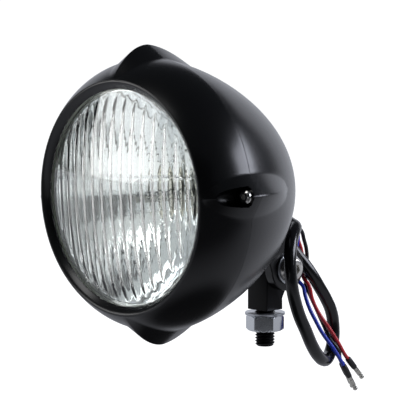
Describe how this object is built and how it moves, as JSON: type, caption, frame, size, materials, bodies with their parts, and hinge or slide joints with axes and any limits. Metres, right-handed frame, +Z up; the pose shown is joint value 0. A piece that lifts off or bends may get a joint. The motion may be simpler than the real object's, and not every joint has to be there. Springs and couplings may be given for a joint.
{
  "type": "round motorcycle headlight",
  "caption": "Black bullet-shaped motorcycle headlight with a fluted glass lens, finned body, pivoting stud mount and a looped cable with three wires.",
  "frame": {"origin": "centre of the mount block's seat face, on the stud's axis", "axes": "+Z up along the stud towards the lamp, the lamp looks along -Y, +X to the side of the cable"},
  "size_m": [0.1456, 0.1567, 0.1813],
  "materials": {
    "black_enamel": "satin black",
    "black_steel": "satin black",
    "lens_glass": "fluted clear glass",
    "bulb_glass": "clear",
    "reflector_mirror": "vacuum-plated",
    "spring_steel": "plain steel",
    "zinc_steel": "zinc plated",
    "screw_steel": "stainless",
    "chrome": "bright chrome",
    "rubber": "matte",
    "black_plastic": "matte",
    "cable_vinyl": "satin",
    "sleeve_vinyl": "satin",
    "lead_insulation": "satin",
    "blue_insulation": "satin blue",
    "red_insulation": "satin red",
    "pin_metal": "tinned"
  },
  "bodies": {
    "mount": {"mount_block": "black_steel", "stud_washer": "zinc_steel", "stud_nut": "chrome"},
    "lamp": {"headlight_shell": "black_enamel", "front_bezel": "black_enamel", "lens": "lens_glass", "lens_seal": "rubber", "reflector": "reflector_mirror", "reflector_clips": "spring_steel", "bulb_holder": "zinc_steel", "bulb_glass": "bulb_glass", "bulb_filaments": "spring_steel", "bulb_shield": "spring_steel", "bulb_cap": "zinc_steel", "bulb_terminals": "zinc_steel", "bulb_spring": "spring_steel", "bulb_connector": "black_plastic", "rubber_boot": "rubber", "bezel_screws": "screw_steel", "cable_grommet": "rubber", "inner_leads": "lead_insulation", "pivot_bolt": "screw_steel", "pivot_washers": "zinc_steel", "pivot_nut": "zinc_steel", "cable_jacket": "cable_vinyl", "wire_blue": "blue_insulation", "wire_red": "red_insulation", "wire_black": "cable_vinyl", "sleeve_blue": "sleeve_vinyl", "sleeve_red": "sleeve_vinyl", "sleeve_black": "sleeve_vinyl", "bullet_blue": "pin_metal", "bullet_red": "pin_metal", "bullet_black": "pin_metal"}
  },
  "joints": [
    {"name": "aim_tilt", "type": "hinge", "parent": "mount", "child": "lamp", "pos_m": [0, 0.0037, 0.02], "axis": [1, 0, 0], "range_deg": [-12, 12]}
  ]
}
